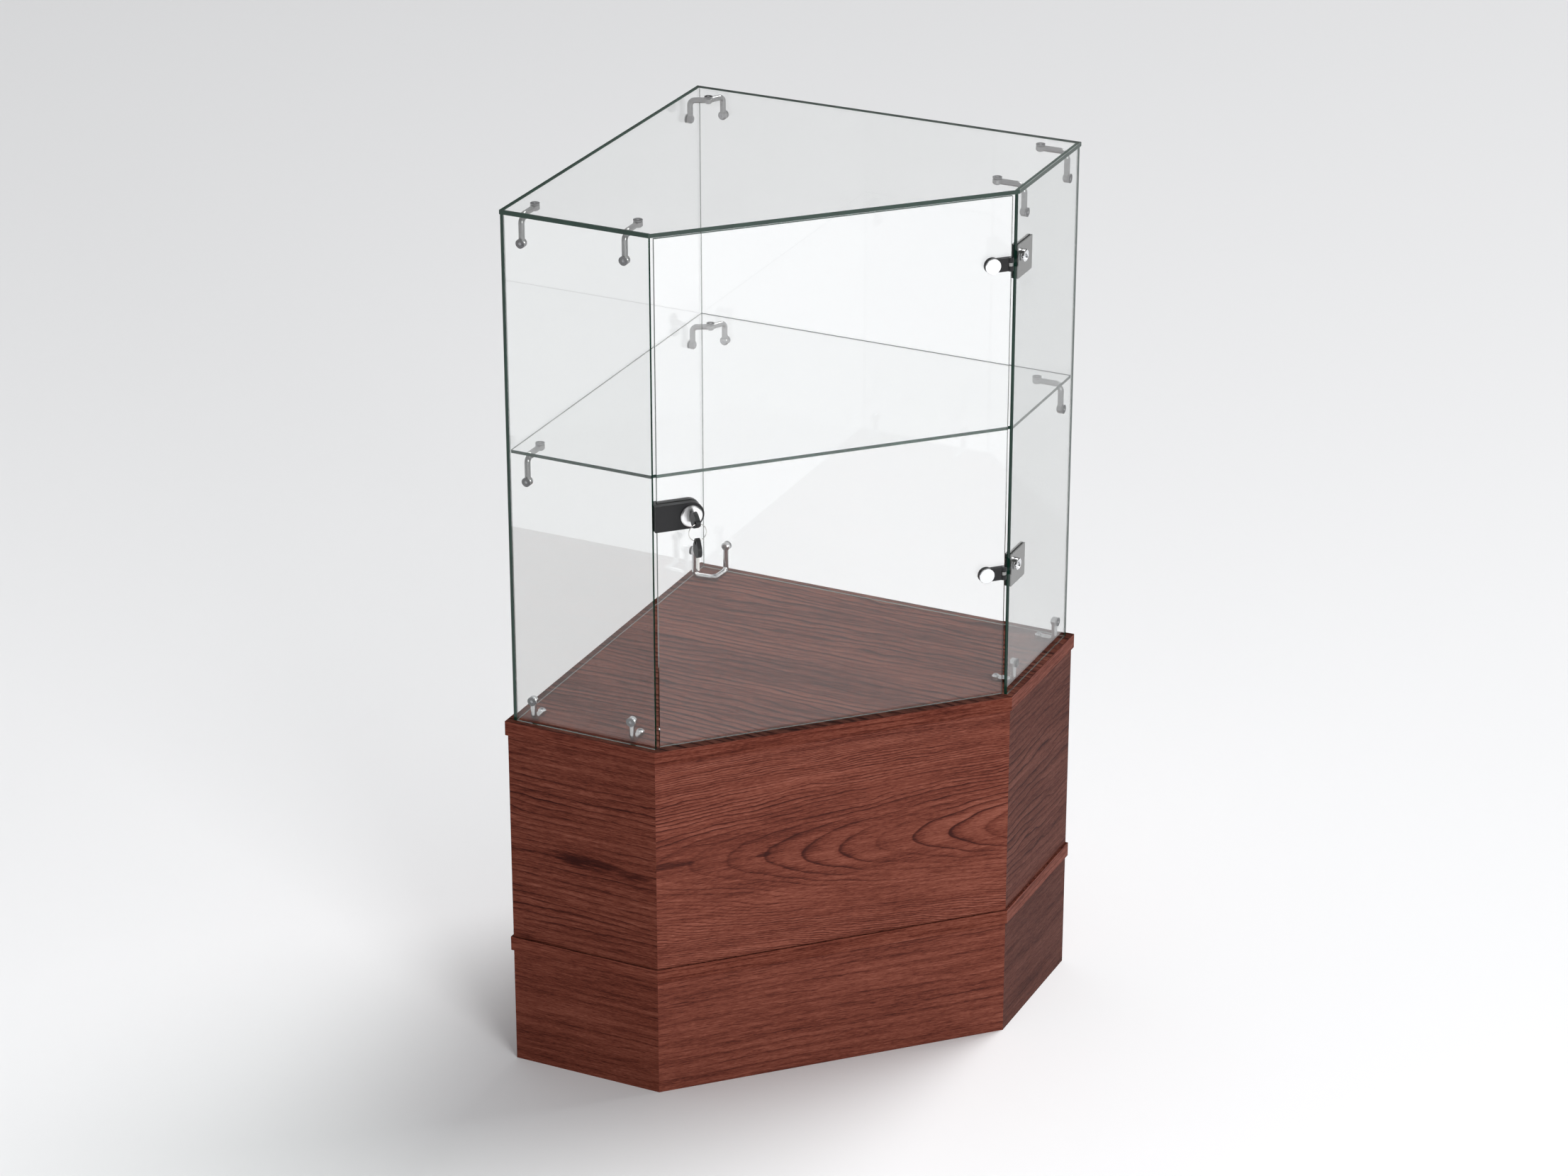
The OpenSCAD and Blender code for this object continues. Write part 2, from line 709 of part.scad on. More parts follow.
module upper_hinge_outer_plate() outer_plate(hinge_levels[0]);
module lower_hinge_outer_plate() outer_plate(hinge_levels[1]);
module upper_hinge_inner_plate() inner_plate(hinge_levels[0]);
module lower_hinge_inner_plate() inner_plate(hinge_levels[1]);

module hinge_gaskets() color(black) for (z = hinge_levels) at_hinge(z) {
    hinge_plate(0, gasket_t, glass_hole_d);
    hinge_plate(inner_face, gasket_t, glass_hole_d);
}

module hinge_bolts() color(chrome) for (z = hinge_levels) at_hinge(z)
    translate([-bolt_in, gasket_t + plate_out_t + bolt_head_t, bolt_up]) rotate([90, 0, 0])
        difference() {
            union() {
                disc(bolt_head_d, bolt_head_t, 2*rim);
                rod(bolt_d, bolt_head_t + plate_out_t + glass_t + 2*gasket_t + plate_in_t);
            }
            translate([0, 0, -eps]) rod(bolt_dish_d, bolt_dish_t + eps);
            cylinder(d = bolt_socket_w, h = bolt_socket_depth, $fn = 6);
        }

module at_pivot(z) placed() translate([pivot[0], pivot[1], z]) children();

// Black arm on the door's face, with two ears round the fixed tongue
module hinge_arm(z) color(black) at_pivot(z) difference() {
    glass_y = pivot_out;
    union() {
        translate([-arm_reach, glass_y - arm_t, -arm_h/2]) cube([arm_reach, arm_t, arm_h]);
        translate([-arm_reach, glass_y, 0]) rotate([90, 0, 0]) rod(arm_end_d, arm_t);
        translate([0, 0, -arm_h/2]) cylinder(r = barrel_r, h = arm_h);
    }
    translate([-tongue_r - tongue_gap, -cut/2, -tongue_t/2 - tongue_gap])
        cube([cut, cut, tongue_t + 2*tongue_gap]);
    translate([0, 0, -cut/2]) rod(pin_d, cut);
    translate([-arm_reach, glass_y + eps, 0]) rotate([90, 0, 0])
        rod(clamp_screw_d + through_gap, arm_t + 2*eps);
    translate([-arm_reach, glass_y - arm_t + clamp_head_t + end_gap, 0]) rotate([90, 0, 0])
        rod(clamp_head_d + through_gap, clamp_head_t + end_gap + eps);
}

module upper_hinge_arm() hinge_arm(hinge_levels[0]);
module lower_hinge_arm() hinge_arm(hinge_levels[1]);

module hinge_pins() color(steel) for (z = hinge_levels) at_pivot(z)
    translate([0, 0, -arm_h/2]) rod(pin_d, arm_h);

module at_clamp(z) placed() translate([clamp_x, door_out, z]) children();

module hinge_caps() color(chrome) for (z = hinge_levels) at_clamp(z)
    translate([0, -arm_t, 0]) rotate([90, 0, 0]) disc(cap_d, cap_t, rim);

module hinge_clamp_discs() color(chrome) for (z = hinge_levels) at_clamp(z) difference() {
    translate([0, glass_t + clamp_t, 0]) rotate([90, 0, 0]) disc(clamp_d, clamp_t, rim);
    along_y(clamp_screw_d, cut);
}

module hinge_clamp_screws() color(steel) for (z = hinge_levels) at_clamp(z) {
    translate([0, -arm_t + end_gap, 0]) along_y(clamp_head_d, clamp_head_t);
    translate([0, -arm_t + end_gap, 0])
        along_y(clamp_screw_d, arm_t + glass_t + clamp_t - 2*end_gap);
}

// Lock: the frame's origin is on the key's axis at the door's outer face,
// with x along the door, y into the case and z up.
module at_lock() placed() translate([lock_x, door_out, lock_z]) children();

// Plate with a square left end and a round right end about the key's axis
module lock_plate(left, y, t) {
    translate([left, y, -lock_w/2]) cube([-left, t, lock_w]);
    translate([0, y, 0]) along_y(lock_w, t);
}

cover_spot = [edge_x + cover_screw_x, lock_w/2 - screw_edge];
grub_spot = [edge_x + grub_x, lock_w/2 - screw_edge];

module lock_spots(p) for (s = [-1, 1]) translate([p[0], 0, s*p[1]]) children();

// Black housing that wraps the door's free edge
module lock_housing() color(black) at_lock() difference() {
    union() {
        lock_plate(edge_x - lock_over, face_y, lock_front_t);
        lock_plate(web_x, glass_t + seat_gap, lock_wall_t + channel_t);
        translate([web_x, face_y, -lock_w/2])
            cube([web_t, cover_y - face_y, lock_w]);
    }
    translate([0, face_y - eps, 0]) along_y(cylinder_d, channel_y - face_y + eps);
    translate([web_x - eps, channel_y, -bolt_h/2 - bolt_gap])
        cube([bolt_right + bolt_gap - web_x, channel_t + eps, bolt_h + 2*bolt_gap]);
    lock_spots(cover_spot) translate([0, cover_y - cover_screw_in - end_gap, 0])
        along_y(cover_screw_d, cut);
    lock_spots(grub_spot) translate([0, glass_t, 0]) along_y(grub_d, cut);
}

module lock_cover() color(black) at_lock() difference() {
    lock_plate(web_x, cover_y, cover_t);
    lock_spots(cover_spot) translate([0, cover_y - eps, 0])
        along_y(cover_screw_d + through_gap, cut);
}

// Two pan-head screws for the cover and two grub screws that grip the glass
module lock_screws() color(steel) at_lock() {
    lock_spots(cover_spot) {
        translate([0, cover_y - cover_screw_in, 0])
            along_y(cover_screw_d, cover_t + cover_screw_in + cover_head_t/2);
        translate([0, cover_y + cover_t, 0]) along_y(cover_head_d, cover_head_t);
    }
    lock_spots(grub_spot) translate([0, glass_t, 0])
        along_y(grub_d, cover_y - glass_t - end_gap);
}

// Fixed cylinder: a bright bezel in front and a round body through the glass
module lock_cylinder() color(chrome) at_lock() difference() {
    union() {
        translate([0, face_y, 0]) rotate([90, 0, 0]) disc(bezel_d, bezel_t, bezel_rim);
        translate([0, face_y - bezel_t/2, 0])
            along_y(cylinder_d, channel_y - face_y + bezel_t/2);
    }
    translate([0, -cut/2, 0]) along_y(plug_d + 2*plug_fit, cut);
}

// Turning plug with the key's slot and the crank pin that drives the bolt
module lock_plug() color(chrome) at_lock() difference() {
    union() {
        translate([0, plug_face, 0]) along_y(plug_d, channel_y - plug_face);
        translate([crank_off, channel_y - 1, crank_off])
            along_y(crank_d, 1 + bolt_gap + bolt_t - end_gap);
    }
    translate([-blade_t/2 - key_gap, plug_face - eps, -blade_w/2 - key_gap])
        cube([blade_t + 2*key_gap, blade_l - head_gap + tip_gap, blade_w + 2*key_gap]);
}

module lock_bolt() color(steel) at_lock() difference() {
    translate([bolt_left, channel_y + bolt_gap, -bolt_h/2])
        cube([bolt_right - bolt_left, bolt_t, bolt_h]);
    translate([crank_off - slot_half, channel_y, crank_off - slot_half])
        cube([2*slot_half, channel_t, crank_r - crank_off + 2*slot_half]);
}

// Keys: drawn with the ring's end at -y, the blade at +y and the thickness
// along x. The head's outline has a large circle and a small one, joined by
// their outer tangents.
module head_outline() {
    lean = (head_r - head_tip_r)/head_reach;
    side = sqrt(1 - lean*lean);
    circle(r = head_r);
    translate([0, -head_reach]) circle(r = head_tip_r);
    polygon([[-head_r*side, -head_r*lean], [-head_tip_r*side, -head_reach - head_tip_r*lean],
        [head_tip_r*side, -head_reach - head_tip_r*lean], [head_r*side, -head_r*lean]]);
}

module blade(l) translate([-blade_t/2, head_r - blade_root, -blade_w/2])
    cube([blade_t, l, blade_w]);

module grip() color(black) difference() {
    rotate([0, -90, 0]) translate([0, 0, -head_t/2]) linear_extrude(head_t) difference() {
        head_outline();
        translate([0, -head_reach]) circle(d = ring_hole_d);
    }
    blade(2*blade_root);
}

module at_key() at_lock() translate([0, head_y, 0]) children();
module at_spare() at_lock() translate([0, ring_y, spare_z]) rotate([-90, 0, 0]) children();

module key_head() at_key() grip();
module spare_key_head() at_spare() grip();
module key_blade() color(steel) at_key() blade(blade_root + blade_l);
module spare_key_blade() color(steel) at_spare() blade(blade_root + blade_l);

// Ring through both heads' holes, hanging from the inserted key
module key_ring() color(steel) at_lock() translate([0, ring_y, -hang_drop - ring_d/2])
    rotate([90, 0, 0]) rotate_extrude() translate([ring_d/2, 0]) circle(d = wire_d, $fn = 24);

plinth_front_panel();
plinth_left_panel();
plinth_right_panel();
plinth_back_left_panel();
plinth_back_right_panel();
deck_board();
deck_edge_band();
cabinet_front_panel();
cabinet_left_panel();
cabinet_right_panel();
cabinet_back_left_panel();
cabinet_back_right_panel();
worktop_board();
worktop_edge_band();
plinth_glue_blocks();
cabinet_glue_blocks();
board_dowels();
top_glass();
back_left_glass();
back_right_glass();
left_side_glass();
right_side_glass();
shelf_glass();
door_glass();
top_left_connectors();
top_right_connectors();
top_back_connector();
shelf_left_connector();
shelf_right_connector();
shelf_back_connector();
base_left_connectors();
base_right_connectors();
base_back_connector();
connector_pads();
connector_screws();
connector_wood_screws();
upper_hinge_outer_plate();
upper_hinge_inner_plate();
upper_hinge_arm();
lower_hinge_outer_plate();
lower_hinge_inner_plate();
lower_hinge_arm();
hinge_gaskets();
hinge_bolts();
hinge_pins();
hinge_caps();
hinge_clamp_discs();
hinge_clamp_screws();
lock_housing();
lock_cover();
lock_screws();
lock_cylinder();
lock_plug();
lock_bolt();
key_head();
key_blade();
key_ring();
spare_key_head();
spare_key_blade();
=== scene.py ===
import math
from collections import namedtuple

import bpy
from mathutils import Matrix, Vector

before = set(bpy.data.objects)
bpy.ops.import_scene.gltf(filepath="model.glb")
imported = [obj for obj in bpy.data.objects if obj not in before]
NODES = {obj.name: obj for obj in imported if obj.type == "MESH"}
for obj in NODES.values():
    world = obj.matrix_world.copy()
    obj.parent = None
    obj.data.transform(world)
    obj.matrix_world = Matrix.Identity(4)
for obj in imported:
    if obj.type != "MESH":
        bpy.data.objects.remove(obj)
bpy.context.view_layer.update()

# Directions. In plan the case is a corner unit, so its walls run at 45 degrees.
DIAG = math.sqrt(0.5)
UP = (0, 0, 1)
ALONG_FRONT = (1, 0, 0)
ALONG_LEFT = (DIAG, -DIAG, 0)
ALONG_RIGHT = (DIAG, DIAG, 0)
FACING_FRONT = (0, 1, 0)
FACING_LEFT = (-DIAG, -DIAG, 0)
FACING_RIGHT = (DIAG, -DIAG, 0)

# Metres: heights of the boards' undersides, and y of the room corner behind the case
DECK_UNDERSIDE = 0.150
WORKTOP_UNDERSIDE = 0.438
CORNER_Y = 0.255934

# Camera: fitted to the corners of the photograph. Metres, degrees, millimetres for the lens.
CAM_TARGET = Vector((0.116024, 0.269401, 0.400))
CAM_AZIMUTH = -19.652
CAM_ELEVATION = 24.283
CAM_DISTANCE = 5.713163
CAM_LENS = 102.05
CAM_SENSOR = 36.0


def add_object(name, data):
    obj = bpy.data.objects.new(name, data)
    bpy.context.scene.collection.objects.link(obj)
    return obj


def aim(obj, direction):
    """Turn a camera or lamp so that it looks along a direction."""
    obj.rotation_mode = "QUATERNION"
    obj.rotation_quaternion = direction.to_track_quat("-Z", "Y")


def make_camera():
    a, e = math.radians(CAM_AZIMUTH), math.radians(CAM_ELEVATION)
    back = Vector((math.sin(a) * math.cos(e), -math.cos(a) * math.cos(e), math.sin(e)))
    data = bpy.data.cameras.new("camera")
    data.sensor_width = CAM_SENSOR
    data.lens = CAM_LENS
    cam = add_object("camera", data)
    cam.location = CAM_TARGET + back * CAM_DISTANCE
    aim(cam, -back)
    bpy.context.scene.camera = cam


# ---------------------------------------------------------------- node trees
class Tree:
    """Adds shader nodes to a material or world, from numbers, colours and sockets."""

    def __init__(self, owner, output):
        self.owner = owner
        owner.use_nodes = True
        self.t = owner.node_tree
        self.t.nodes.clear()
        self.out = self.t.nodes.new(output)

    def put(self, socket, value):
        if isinstance(value, bpy.types.NodeSocket):
            self.t.links.new(value, socket)
        elif isinstance(value, (tuple, list)) and socket.type == "RGBA" and len(value) == 3:
            socket.default_value = (*value, 1.0)
        else:
            socket.default_value = value

    def node(self, kind, **inputs):
        n = self.t.nodes.new(kind)
        for k, v in inputs.items():
            self.put(n.inputs[k.replace("_", " ")], v)
        return n

    def math(self, op, *values):
        n = self.t.nodes.new("ShaderNodeMath")
        n.operation = op
        for socket, v in zip(n.inputs, values):
            self.put(socket, v)
        return n.outputs[0]

    def add(self, a, b):
        return self.math("ADD", a, b)

    def sub(self, a, b):
        return self.math("SUBTRACT", a, b)

    def mul(self, a, b):
        return self.math("MULTIPLY", a, b)

    def div(self, a, b):
        return self.math("DIVIDE", a, b)

    def dot(self, vec, axis):
        n = self.t.nodes.new("ShaderNodeVectorMath")
        n.operation = "DOT_PRODUCT"
        self.put(n.inputs[0], vec)
        n.inputs[1].default_value = axis
        return n.outputs["Value"]

    def vec(self, x, y, z):
        return self.node("ShaderNodeCombineXYZ", X=x, Y=y, Z=z).outputs[0]

    def noise(self, vec, scale=1.0, detail=2.0, rough=0.5):
        n = self.node("ShaderNodeTexNoise", Vector=vec, Scale=scale, Detail=detail, Roughness=rough)
        return n.outputs[0]

    def ramp(self, fac, stops):
        """Straight ramp through (position, colour) stops. A lone number is a grey."""
        n = self.t.nodes.new("ShaderNodeValToRGB")
        elements = n.color_ramp.elements
        while len(elements) < len(stops):
            elements.new(0.5)
        for e, (pos, col) in zip(elements, stops):
            e.position = pos
            e.color = (col, col, col, 1) if isinstance(col, float) else (*col, 1)
        self.put(n.inputs[0], fac)
        return n.outputs[0]

    def mix(self, fac, a, b, mode="MIX"):
        """Mix of two colours."""
        n = self.t.nodes.new("ShaderNodeMix")
        n.data_type = "RGBA"
        n.blend_type = mode
        for socket, v in zip((n.inputs[0], n.inputs[6], n.inputs[7]), (fac, a, b)):
            self.put(socket, v)
        return n.outputs[2]

    def blend(self, fac, a, b):
        """Mix of two numbers."""
        n = self.t.nodes.new("ShaderNodeMix")
        for socket, v in zip((n.inputs[0], n.inputs[2], n.inputs[3]), (fac, a, b)):
            self.put(socket, v)
        return n.outputs[0]

    def smooth(self, value, lo, hi, out_lo=0.0, out_hi=1.0):
        n = self.t.nodes.new("ShaderNodeMapRange")
        n.interpolation_type = "SMOOTHSTEP"
        for socket, v in zip(n.inputs, (value, lo, hi, out_lo, out_hi)):
            self.put(socket, v)
        return n.outputs[0]

    def coord(self, kind):
        return self.node("ShaderNodeTexCoord").outputs[kind]

    def ray(self, kind):
        return self.node("ShaderNodeLightPath").outputs[kind]

    def bump(self, height, strength, distance):
        return self.node("ShaderNodeBump", Height=height, Strength=strength, Distance=distance).outputs[0]

    def surface(self, **inputs):
        self.finish(self.node("ShaderNodeBsdfPrincipled", **inputs))

    def mix_shaders(self, fac, a, b):
        n = self.node("ShaderNodeMixShader", Fac=fac)
        self.put(n.inputs[1], a.outputs[0])
        self.put(n.inputs[2], b.outputs[0])
        return n

    def finish(self, shader):
        self.put(self.out.inputs[0], shader.outputs[0])


def material_tree(name):
    return Tree(bpy.data.materials.new(name), "ShaderNodeOutputMaterial")


def srgb(r, g, b):
    """Linear colour, as shaders use it, of one written as on a screen, 0 to 255."""
    return tuple(((c / 255 + 0.055) / 1.055) ** 2.4 if c > 10 else c / 255 / 12.92 for c in (r, g, b))


def scaled(colour, factor):
    return tuple(factor * c for c in colour)


def dress(material, *names):
    for name in names:
        slots = NODES[name].data.materials
        slots.clear()
        slots.append(material)


# ---------------------------------------------------------------- wood
# Laminate colours over the grain value, dark to pale
WOOD_COLOURS = [
    (0.00, (0.040, 0.0080, 0.0060)),
    (0.25, (0.085, 0.0180, 0.0110)),
    (0.50, (0.160, 0.0395, 0.0240)),
    (0.75, (0.235, 0.0700, 0.0450)),
    (1.00, (0.310, 0.1050, 0.0720)),
]
# Grey into which a face's colour is mixed to paint its sheen
PAINTED_SHEEN_GREY = (0.070, 0.052, 0.050)

# Grain value across one growth ring: pale wood, then a thin dark line
RING_PROFILE = [(0.0, 0.58), (0.12, 0.68), (0.60, 0.60), (0.84, 0.40), (0.94, 0.0), (1.0, 0.58)]
RING_MEAN = 0.55
VALUE_MEAN = 0.52

# Noise drawn out along a board: cells per metre along and across, offset, detail, roughness
Layer = namedtuple("Layer", "along across offset detail rough", defaults=(2.0, 0.5))
WANDER = Layer(4.0, 13.0, 0.0, 3.0, 0.55)   # the slow bend of the rings
RIPPLE = Layer(34.0, 60.0, 7.1)             # the short bend of the rings
FADE = Layer(3.0, 10.0, 3.3)                # where rings show and where they fade
PORES = Layer(120.0, 1500.0, 9.4, 1.0)
RAGGED = Layer(24.0, 150.0, 2.6, 3.0, 0.6)  # the outline of a mark
# Layers that make the fibre, each with its weight
FIBRES = (
    (Layer(34.0, 900.0, 1.7, 4.0, 0.75), 1.25),  # fibre
    (Layer(160.0, 1250.0, 4.4), 0.75),           # short flecks
    (Layer(2.2, 22.0, 5.2), 0.40),               # broad light and dark zones
    (Layer(8.0, 150.0, 6.9), 0.62),              # bands between the two in size
)
WANDER_REACH = 0.050    # metres, at wave=1
RIPPLE_REACH = 0.0038   # metres
PORE_DEPTH = 0.20
RAGGEDNESS = 1.9
SHADE_DEPTH = 0.22      # painted shade right under the board above
SHADE_FROM, SHADE_TO = 0.0045, 0.001  # metres below that board

# Nested arches: u of their nose, height and slope of their axis, width, and ring spacing along u
Arch = namedtuple("Arch", "nose axis slope width pitch")
# A dark mineral mark: its middle, its reach along and across the grain, and how dark it is
Mark = namedtuple("Mark", "u h length height depth")


class Grain:
    """The grain value of a board, on which u runs with the grain and h across it, in metres."""

    def __init__(self, tree, u, h, seed):
        self.tree, self.u, self.h, self.seed = tree, u, h, seed

    def streaks(self, layer):
        """Noise around zero."""
        t = self.tree
        v = t.vec(t.mul(self.u, layer.along), t.mul(self.h, layer.across), self.seed + layer.offset)
        return t.sub(t.noise(v, 1.0, layer.detail, layer.rough), 0.5)

    def ring_count(self, wave, spacing, arch):
        """Rings counted across the board, as contour lines of a height field bent by noise."""
        t = self.tree
        bend = t.add(t.mul(self.streaks(WANDER), WANDER_REACH * wave),
                     t.mul(self.streaks(RIPPLE), RIPPLE_REACH))
        field = t.add(self.h, bend)
        if not arch:
            return t.div(field, spacing)
        run = t.sub(self.u, arch.nose)
        rise = t.sub(field, t.add(arch.axis, t.mul(run, arch.slope)))
        return t.div(t.sub(t.div(t.mul(rise, rise), arch.width), run), arch.pitch)

    def rings(self, turn, line):
        """Some rings are plain and some only a trace, and all fade in and out along the board."""
        t = self.tree
        profile = t.ramp(t.math("FRACT", turn), RING_PROFILE)
        which = t.noise(t.vec(t.math("FLOOR", turn), self.seed, t.mul(self.u, 3.0)), 1.7, 1.0, 0.5)
        fade = t.mul(t.smooth(which, 0.34, 0.60, 0.20, 1.0),
                     t.smooth(self.streaks(FADE), -0.16, 0.14, 0.35, 1.0))
        return t.add(VALUE_MEAN, t.mul(t.sub(profile, RING_MEAN), t.mul(fade, line * 2)))

    def fibres(self, value):
        t = self.tree
        for layer, weight in FIBRES:
            value = t.add(value, t.mul(self.streaks(layer), weight))
        pores = t.smooth(self.streaks(PORES), 0.10, 0.22)
        return t.sub(value, t.mul(pores, PORE_DEPTH))

    def mark(self, value, m):
        t = self.tree
        ragged = t.mul(self.streaks(RAGGED), RAGGEDNESS)
        x = t.div(t.sub(self.u, m.u), m.length)
        y = t.div(t.sub(self.h, m.h), m.height)
        away = t.math("SQRT", t.add(t.mul(x, x), t.mul(y, y)))
        return t.sub(value, t.smooth(t.add(away, ragged), 0.30, 1.15, m.depth, 0.0))


def wood(name, along, up=UP, seed=0.0, spacing=0.009, wave=1.0, line=0.5, arch=None, marks=(),
         under=None, ledge=None, edged=False, contrast=1.0, grey=0.0, tone_and_painted_light=1.0, rough=0.46, spec=0.05):
    """Laminate with lengthwise grain, along and up being the directions of u and h.

    spacing, wave, line and arch set the rings; under is the height of the board above, below which
    a painted shade darkens the face, ledge paints shade on faces that look up, and edged gives a
    board's edges a lengthwise grain of their own."""
    t = material_tree(name)
    p = t.coord("Object")
    normal = t.coord("Normal")
    u, h = t.dot(p, along), t.dot(p, up)
    if edged:
        flat = t.math("GREATER_THAN", t.math("ABSOLUTE", t.dot(normal, UP)), 0.5)
        u = t.blend(flat, t.dot(p, (1 / DIAG, 0, 0)), u)
        h = t.blend(flat, t.dot(p, UP), h)
    grain = Grain(t, u, h, seed)
    value = grain.fibres(grain.rings(grain.ring_count(wave, spacing, arch), line))
    for m in marks:
        value = grain.mark(value, m)
    if contrast != 1.0:
        value = t.add(0.5, t.mul(t.sub(value, 0.5), contrast))
    # Painted shade: the face darkens over the last few millimetres below the board above
    if under:
        value = t.sub(value, t.smooth(h, under - SHADE_FROM, under - SHADE_TO, 0.0, SHADE_DEPTH))
    # Painted shade on the faces that look up
    if ledge:
        value = t.sub(value, t.smooth(t.dot(normal, UP), 0.4, 0.9, 0.0, ledge))
    colour = t.ramp(value, WOOD_COLOURS)
    # Painted sheen: the colour pales towards grey on faces that catch a sheen
    if grey:
        colour = t.mix(grey, colour, PAINTED_SHEEN_GREY)
    # The face's own tone together with painted light and shade: front faces paler, side faces and the
    # boards inside the case darker, for how light falls on them
    if tone_and_painted_light != 1.0:
        colour = t.mix(1.0, colour, (tone_and_painted_light, tone_and_painted_light, tone_and_painted_light), "MULTIPLY")
    t.surface(Base_Color=colour, Roughness=t.smooth(value, 0.1, 0.9, rough + 0.06, rough - 0.03),
              Normal=t.bump(value, 0.10, 0.0005), Specular_IOR_Level=spec)
    return t.owner


def dress_wood():
    # Front faces are painted lighter, side faces and the boards inside the case painted darker, and some
    # faces get a painted sheen of grey
    shift = -DIAG * CORNER_Y  # where the corner of the room lies along the left side's grain
    dress(wood("wood_cabinet_front", ALONG_FRONT, seed=1.3, wave=0.62, line=0.95,
               arch=Arch(nose=0.098, axis=0.290, slope=-0.045, width=0.0125, pitch=0.047),
               marks=(Mark(-0.205, 0.304, 0.030, 0.006, 0.34), Mark(-0.089, 0.298, 0.012, 0.0035, 0.30),
                      Mark(-0.030, 0.296, 0.022, 0.004, 0.15)),
               under=WORKTOP_UNDERSIDE, grey=0.09, tone_and_painted_light=1.06),
          "cabinet_front_panel")
    dress(wood("wood_cabinet_left", ALONG_LEFT, seed=4.2, spacing=0.0085, wave=0.55, line=0.8,
               marks=(Mark(0.092 + shift, 0.291, 0.062, 0.0085, 0.42),
                      Mark(0.160 + shift, 0.284, 0.03, 0.0045, 0.36)),
               under=WORKTOP_UNDERSIDE, tone_and_painted_light=0.80),
          "cabinet_left_panel")
    dress(wood("wood_cabinet_right", ALONG_RIGHT, seed=8.8, spacing=0.010, wave=1.2, line=0.7,
               under=WORKTOP_UNDERSIDE, grey=0.10, tone_and_painted_light=0.59),
          "cabinet_right_panel")
    dress(wood("wood_plinth_front", ALONG_FRONT, seed=12.1, spacing=0.013, wave=0.5, line=0.30,
               under=DECK_UNDERSIDE, grey=0.09, tone_and_painted_light=1.04),
          "plinth_front_panel")
    dress(wood("wood_plinth_left", ALONG_LEFT, seed=15.7, spacing=0.013, wave=0.5, line=0.30,
               under=DECK_UNDERSIDE, tone_and_painted_light=0.84),
          "plinth_left_panel")
    dress(wood("wood_plinth_right", ALONG_RIGHT, seed=19.4, spacing=0.013, wave=0.9, line=0.35,
               under=DECK_UNDERSIDE, grey=0.05, tone_and_painted_light=0.50),
          "plinth_right_panel")
    dress(wood("wood_back_left", ALONG_RIGHT, seed=23.0, spacing=0.011, wave=1.2),
          "plinth_back_left_panel", "cabinet_back_left_panel")
    dress(wood("wood_back_right", ALONG_LEFT, seed=27.5, spacing=0.011, wave=1.2),
          "plinth_back_right_panel", "cabinet_back_right_panel")
    dress(wood("wood_boards", ALONG_LEFT, up=ALONG_RIGHT, seed=31.2, spacing=0.012, wave=1.1, line=1.0,
               edged=True, contrast=1.6, grey=0.05, tone_and_painted_light=0.47, rough=0.36, spec=0.02),
          "deck_board", "worktop_board")
    dress(wood("wood_bands", ALONG_FRONT, seed=35.9, spacing=0.0075, wave=0.3, line=0.3,
               ledge=0.34, tone_and_painted_light=0.87),
          "deck_edge_band", "worktop_edge_band")
    dress(bare_wood(), "plinth_glue_blocks", "cabinet_glue_blocks", "board_dowels")


def bare_wood():
    """Plain softwood whose grain runs up: cells per metre across and along it."""
    across, along = 400, 25
    t = material_tree("bare_wood")
    p = t.coord("Object")
    v = t.vec(t.dot(p, (across, 0, 0)), t.dot(p, (0, across, 0)), t.dot(p, (0, 0, along)))
    colour = t.ramp(t.noise(v, 1.0, 3.0, 0.6), [(0.2, srgb(168, 128, 86)), (0.8, srgb(206, 172, 126))])
    t.surface(Base_Color=colour, Roughness=0.7)
    return t.owner


# ---------------------------------------------------------------- glass
GLASS_FACE = (0.995, 1.0, 0.998)
GLASS_EDGE = srgb(18, 48, 38)
GLASS_IOR = 1.5
GLASS_SHADOW = (0.87, 0.89, 0.88)  # what a pane lets through of the light that casts shadows
GLASS_SHADOW_SHARE = 0.9
EDGE_STREAKS = 30                  # cells per metre


def glass(name, normal, face=GLASS_FACE):
    """Clear float glass: the two large faces let light through, the cut edges
    are the dark green of light that has crossed the whole pane."""
    t = material_tree(name)
    flat = t.math("GREATER_THAN", t.math("ABSOLUTE", t.dot(t.coord("Normal"), normal)), 0.9)
    p = t.coord("Object")
    s = EDGE_STREAKS
    streak = t.noise(t.vec(t.dot(p, (s, s, 0)), t.dot(p, (s, -s, 0)), t.dot(p, (0, 0, s))), 1.0, 2.0, 0.5)
    green = t.mix(streak, scaled(GLASS_EDGE, 0.6), scaled(GLASS_EDGE, 1.5))
    body = t.node("ShaderNodeBsdfPrincipled", Base_Color=t.mix(flat, green, face), Roughness=0.0,
                  IOR=GLASS_IOR, Transmission_Weight=flat)
    clear = t.node("ShaderNodeBsdfTransparent", Color=GLASS_SHADOW)
    t.finish(t.mix_shaders(t.mul(t.ray("Is Shadow Ray"), GLASS_SHADOW_SHARE), body, clear))
    return t.owner


def dress_glass():
    """The panes are all clear. Those that show darker get a painted grey shade in their faces, not a tint
    of the glass.
    """
    dress(glass("glass_top", UP, (0.972, 0.978, 0.975)), "top_glass")
    dress(glass("glass_shelf", UP), "shelf_glass")
    dress(glass("glass_door", FACING_FRONT), "door_glass")
    dress(glass("glass_left", FACING_LEFT, (0.885, 0.892, 0.888)), "left_side_glass")
    dress(glass("glass_right", FACING_RIGHT, (0.75, 0.761, 0.756)), "right_side_glass")
    dress(glass("glass_back_left", FACING_RIGHT), "back_left_glass")
    dress(glass("glass_back_right", FACING_LEFT), "back_right_glass")


